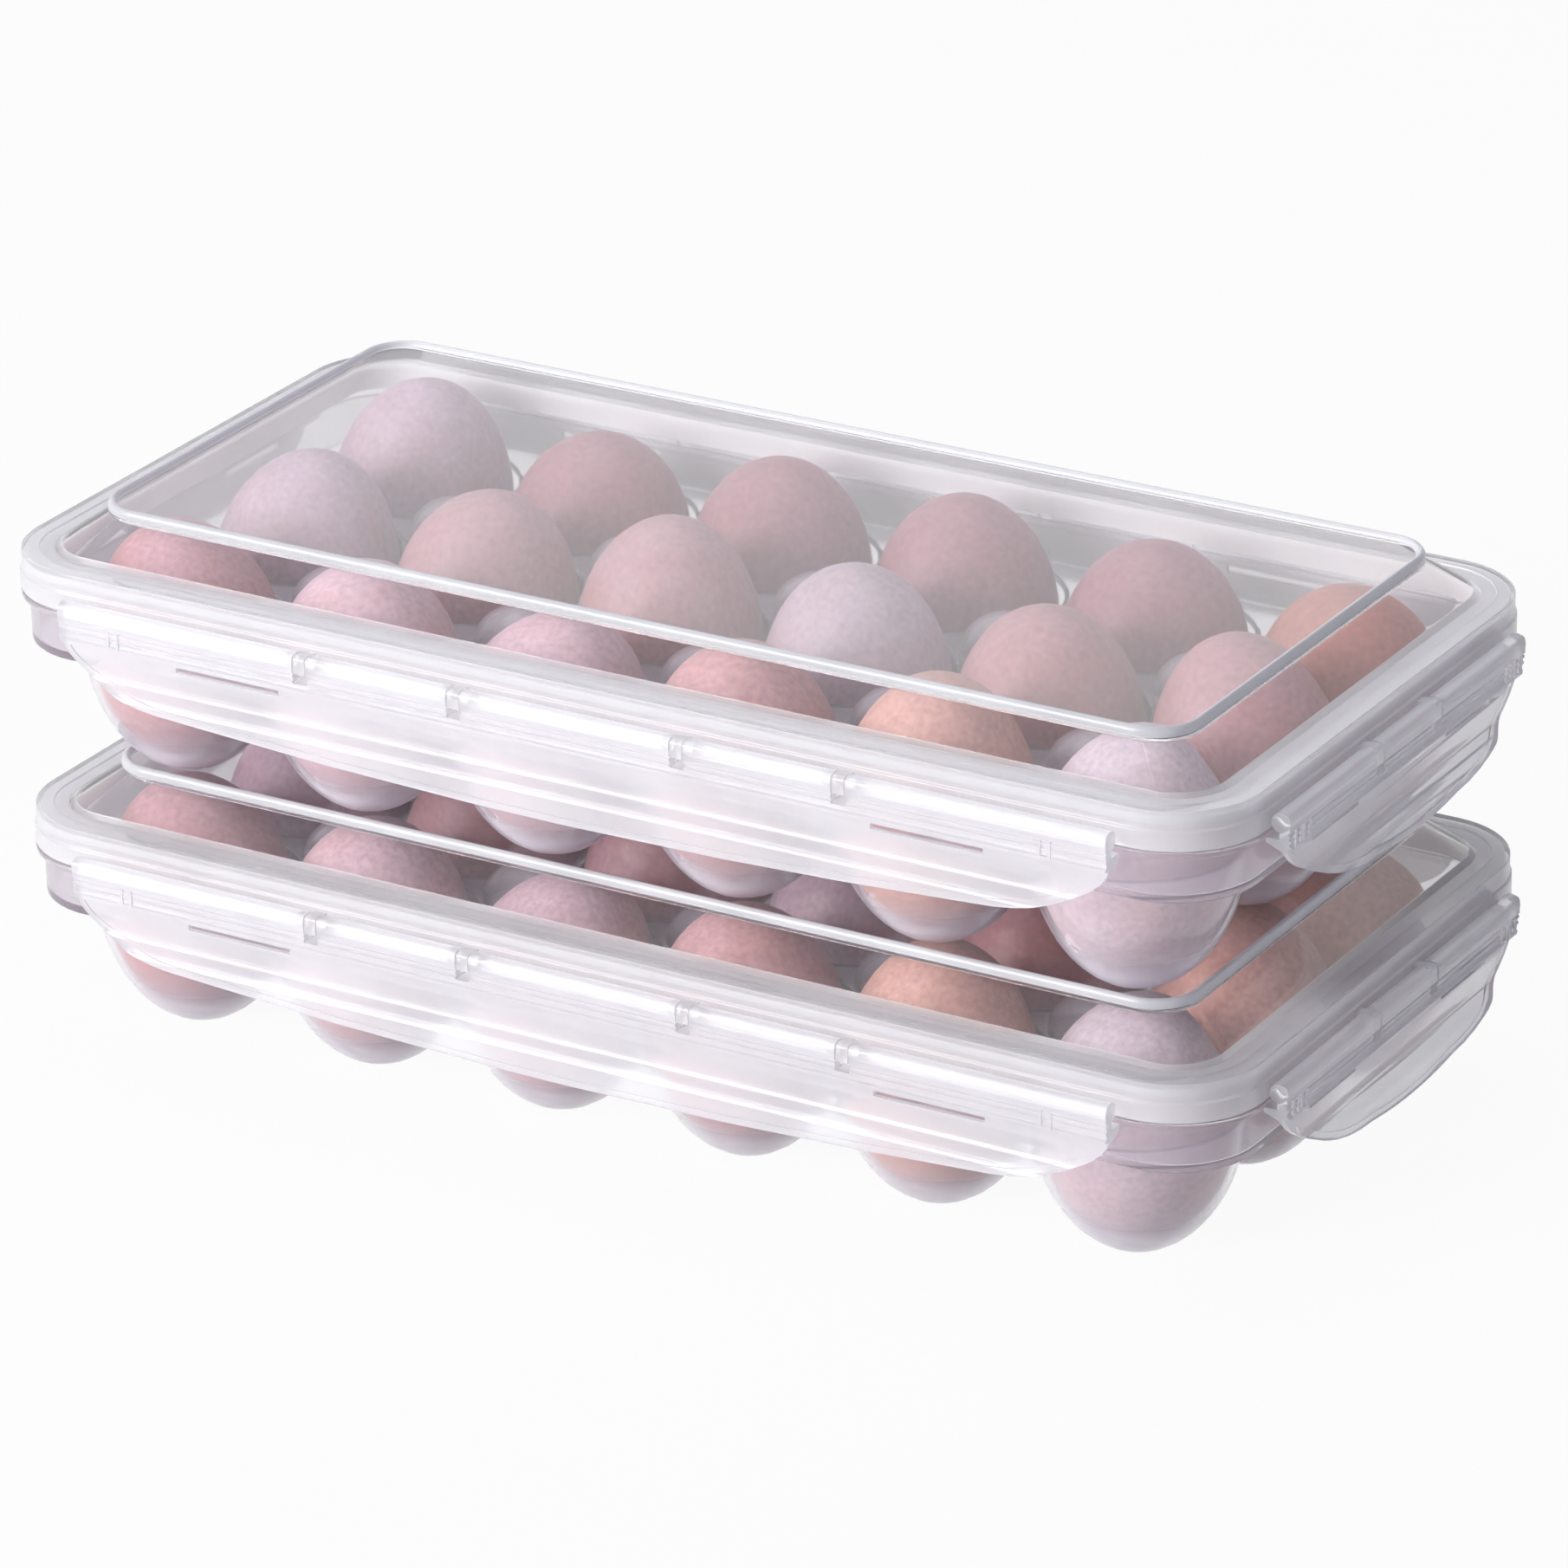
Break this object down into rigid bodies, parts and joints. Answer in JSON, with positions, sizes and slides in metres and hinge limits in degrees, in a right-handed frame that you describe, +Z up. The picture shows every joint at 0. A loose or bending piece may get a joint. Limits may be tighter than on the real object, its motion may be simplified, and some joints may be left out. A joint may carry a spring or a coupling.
{
  "type": "egg storage box",
  "caption": "Two stacked clear egg storage boxes with cupped trays full of eggs, domed lids and snap latches on all four sides.",
  "frame": {"origin": "centre of the lower box on the plane its cups stand on", "axes": "+X along the long side, +Y towards the back, +Z up"},
  "size_m": [0.3354, 0.1744, 0.1291],
  "materials": {
    "clear_shell": "clear, smooth",
    "frosted_latch": "milky, translucent",
    "seal": "soft translucent silicone",
    "eggshell": "smooth, slightly glossy shell"
  },
  "bodies": {
    "lower_tray_body": {"lower_tray": "clear_shell", "lower_egg_front_1": "eggshell", "lower_egg_front_2": "eggshell", "lower_egg_front_3": "eggshell", "lower_egg_front_4": "eggshell", "lower_egg_front_5": "eggshell", "lower_egg_front_6": "eggshell", "lower_egg_middle_1": "eggshell", "lower_egg_middle_2": "eggshell", "lower_egg_middle_3": "eggshell", "lower_egg_middle_4": "eggshell", "lower_egg_middle_5": "eggshell", "lower_egg_middle_6": "eggshell", "lower_egg_back_1": "eggshell", "lower_egg_back_2": "eggshell", "lower_egg_back_3": "eggshell", "lower_egg_back_4": "eggshell", "lower_egg_back_5": "eggshell", "lower_egg_back_6": "eggshell"},
    "lower_lid_body": {"lower_lid": "clear_shell", "lower_seal": "seal"},
    "lower_latch_front_body": {"lower_latch_front": "frosted_latch"},
    "lower_latch_right_body": {"lower_latch_right": "frosted_latch"},
    "lower_latch_back_body": {"lower_latch_back": "frosted_latch"},
    "lower_latch_left_body": {"lower_latch_left": "frosted_latch"},
    "upper_tray_body": {"upper_tray": "clear_shell", "upper_egg_front_1": "eggshell", "upper_egg_front_2": "eggshell", "upper_egg_front_3": "eggshell", "upper_egg_front_4": "eggshell", "upper_egg_front_5": "eggshell", "upper_egg_front_6": "eggshell", "upper_egg_middle_1": "eggshell", "upper_egg_middle_2": "eggshell", "upper_egg_middle_3": "eggshell", "upper_egg_middle_4": "eggshell", "upper_egg_middle_5": "eggshell", "upper_egg_middle_6": "eggshell", "upper_egg_back_1": "eggshell", "upper_egg_back_2": "eggshell", "upper_egg_back_3": "eggshell", "upper_egg_back_4": "eggshell", "upper_egg_back_5": "eggshell", "upper_egg_back_6": "eggshell"},
    "upper_lid_body": {"upper_lid": "clear_shell", "upper_seal": "seal"},
    "upper_latch_front_body": {"upper_latch_front": "frosted_latch"},
    "upper_latch_right_body": {"upper_latch_right": "frosted_latch"},
    "upper_latch_back_body": {"upper_latch_back": "frosted_latch"},
    "upper_latch_left_body": {"upper_latch_left": "frosted_latch"}
  },
  "joints": [
    {"name": "lower_lid_lift", "type": "slide", "parent": "lower_tray_body", "child": "lower_lid_body", "axis": [0, 0, 1], "range_m": [0, 0.06]},
    {"name": "lower_latch_front_hinge", "type": "hinge", "parent": "lower_lid_body", "child": "lower_latch_front_body", "pos_m": [0, -0.0828, 0.0469], "axis": [-1, 0, 0], "range_deg": [0, 135]},
    {"name": "lower_latch_right_hinge", "type": "hinge", "parent": "lower_lid_body", "child": "lower_latch_right_body", "pos_m": [0.1633, 0, 0.0469], "axis": [0, -1, 0], "range_deg": [0, 135]},
    {"name": "lower_latch_back_hinge", "type": "hinge", "parent": "lower_lid_body", "child": "lower_latch_back_body", "pos_m": [0, 0.0828, 0.0469], "axis": [1, 0, 0], "range_deg": [0, 135]},
    {"name": "lower_latch_left_hinge", "type": "hinge", "parent": "lower_lid_body", "child": "lower_latch_left_body", "pos_m": [-0.1633, 0, 0.0469], "axis": [0, 1, 0], "range_deg": [0, 135]},
    {"name": "upper_tray_lift", "type": "slide", "parent": "lower_lid_body", "child": "upper_tray_body", "axis": [0, 0, 1], "range_m": [0, 0.06]},
    {"name": "upper_lid_lift", "type": "slide", "parent": "upper_tray_body", "child": "upper_lid_body", "axis": [0, 0, 1], "range_m": [0, 0.06]},
    {"name": "upper_latch_front_hinge", "type": "hinge", "parent": "upper_lid_body", "child": "upper_latch_front_body", "pos_m": [0, -0.0828, 0.111], "axis": [-1, 0, 0], "range_deg": [0, 135]},
    {"name": "upper_latch_right_hinge", "type": "hinge", "parent": "upper_lid_body", "child": "upper_latch_right_body", "pos_m": [0.1633, 0, 0.111], "axis": [0, -1, 0], "range_deg": [0, 135]},
    {"name": "upper_latch_back_hinge", "type": "hinge", "parent": "upper_lid_body", "child": "upper_latch_back_body", "pos_m": [0, 0.0828, 0.111], "axis": [1, 0, 0], "range_deg": [0, 135]},
    {"name": "upper_latch_left_hinge", "type": "hinge", "parent": "upper_lid_body", "child": "upper_latch_left_body", "pos_m": [-0.1633, 0, 0.111], "axis": [0, 1, 0], "range_deg": [0, 135]}
  ]
}
